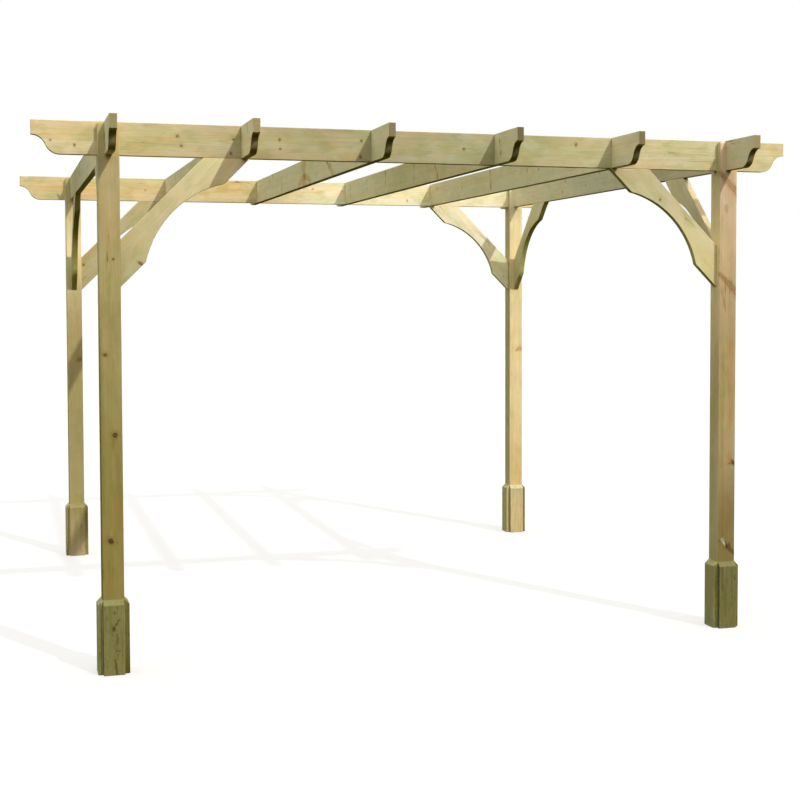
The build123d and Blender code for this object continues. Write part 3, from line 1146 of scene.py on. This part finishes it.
# %% Finish
SUNNY_SIDE = (0.707, -0.707, 0.0)
MARK_CELLS = (0.3, 1.2, 1.2)
NO_KNOT = 9.0
PITH_ACROSS = 0.3
PITH_DEEP = (0.4, 1.2)
RING_WIDTHS = (0.0035, 0.0055)
HEART_RADII = (0.0, 0.025)
SEED_REACH = 40
SUN_BLEND = 0.25
SPECULAR = 0.3


def tone_ramp(share, names):
    """Named tones at even places along a stick, eased into each other."""
    colours = [tones[name] for name in names.split()]
    return ramp(share, np.linspace(0, 1, len(colours)), colours, "EASE")


def finish(node, seed):
    """The timber material of one piece."""
    draw = np.random.default_rng(seed)
    kind = node.split("_")[0]
    half = Vector(stick_sizes[kind]) / 2
    turn, middle = stick_frame(node)
    pith_across = draw.uniform(-PITH_ACROSS, PITH_ACROSS) * half.y
    pith_deep = draw.choice([-1, 1]) * draw.uniform(*PITH_DEEP) * half.z
    pith = Vector((0.0, *piths.get(node, (pith_across, pith_deep))))
    material, tree, output = empty_material(node + "_softwood")
    place = add(tree, "TexCoord").outputs["Object"]
    spot = add(tree, "Mapping", {"Vector": place, "Location": middle, "Rotation": turn.to_euler()},
               vector_type="TEXTURE").outputs["Vector"]
    knots = knots_of(node, half, pith, draw)
    marks = factor(1.0, 1.0, 1.0)
    for start, run, width, paint_colour in marks_of(node, knots):
        cells = [share / width for share in MARK_CELLS]
        inputs = {"Spot": spot, "Start": start, "Run": run, "Width": width, "Cells": cells,
                  "Paint": paint_colour, "Marks": marks}
        marks = add(tree, "Group", inputs, node_tree=mark).outputs["Marks"]
    near, swell = NO_KNOT, 0.0
    for root, reach, width in knots:
        inputs = {"Spot": spot, "Root": root, "Reach": reach, "Width": width, "Near": near, "Swell": swell}
        near, swell = add(tree, "Group", inputs, node_tree=branch).outputs
    along_share = smooth(part(spot, "X"), -half.x, half.x, "LINEAR")
    tone = tone_ramp(along_share, stains_and_painted_light.get(node, common_stains[kind]))
    # Faces turned away from the sun take the second row of tones: painted light and shade.
    if node in painted_shade_side_tones:
        sunny = vectors("DOT_PRODUCT", add(tree, "NewGeometry").outputs["Normal"], SUNNY_SIDE)
        tone = mixed(smooth(sunny, -SUN_BLEND, SUN_BLEND), tone_ramp(along_share, painted_shade_side_tones[node]), tone)
    ring = float(draw.uniform(*RING_WIDTHS)) * slow_growth.get(kind, 1.0)
    heart_radius = hearts.get(node, float(draw.uniform(*HEART_RADII)))
    ends = np.multiply(end_wear_and_shade.get(node, 1.0), end_tones[kind])
    # The narrow sides of the foot boards and the undersides get painted light and shade factors here.
    timber = add(tree, "Group", {
        "Spot": spot, "Seed": draw.uniform(0, SEED_REACH, 3), "Pith": pith, "Half": half,
        "Along": turn.col[0], "Wide": turn.col[1],
        "Ring": ring, "Heart": heart_radius, "Near": near, "Swell": swell,
        "Sawn": float(kind == "foot"), "Mottle": mottle.get(kind, PLAIN_MOTTLE), "Tone": tone,
        "Ends": factor(*ends), "Marks": marks, "Outer": painted_sunlit_rims.get(node, OUTER_SIDE_PAINTED_SHADE),
        "Sheltered": INNER_SIDE_PAINTED_SHADE if node.endswith("right") else INNER_SIDE_PAINTED_LIGHT,
        "Below": underside_shades.get(kind, PLAIN_UNDERSIDE_SHADE)}, node_tree=wood).outputs
    shader = add(tree, "BsdfPrincipled", {"Base Color": timber["Color"], "Roughness": timber["Roughness"],
                                          "Normal": timber["Normal"], "Specular IOR Level": SPECULAR})
    give(output, Surface=shader.outputs[0])
    return material


for seed, (node, piece) in enumerate(pieces.items(), start=100):
    piece.data.materials.append(finish(node, seed))
print("finished", len(pieces), "pieces")
